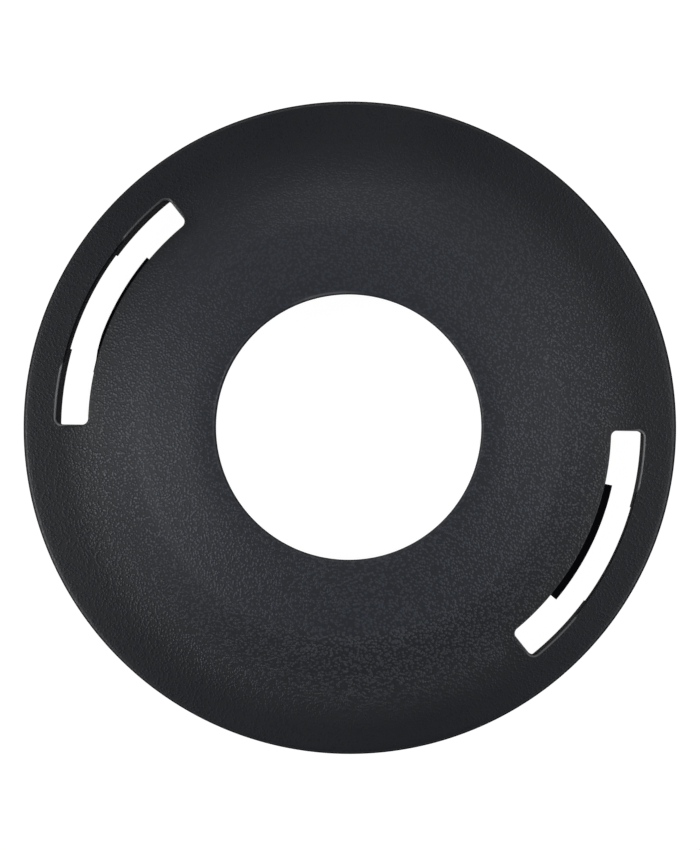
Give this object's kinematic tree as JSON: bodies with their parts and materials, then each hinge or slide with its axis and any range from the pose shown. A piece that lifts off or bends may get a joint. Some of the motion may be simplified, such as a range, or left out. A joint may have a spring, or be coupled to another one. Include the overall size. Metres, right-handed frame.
{
  "type": "trimmer head cap",
  "caption": "Round black moulded cap for a bump-feed string trimmer head, with a central button opening, a low crown, latch slots near the rim and a spigot with catches below.",
  "frame": {"origin": "on the opening's axis, at the height of the spigot's lower edge, which the cap lies on", "axes": "+Z along the opening's axis, out of the outer face; +X through the middle of one latch slot"},
  "size_m": [0.11, 0.11, 0.0125],
  "materials": {
    "black_plastic": "black moulded polyamide with a fine pebble grain on the outer face"
  },
  "bodies": {
    "root": {"head_cap": "black_plastic"}
  },
  "joints": []
}
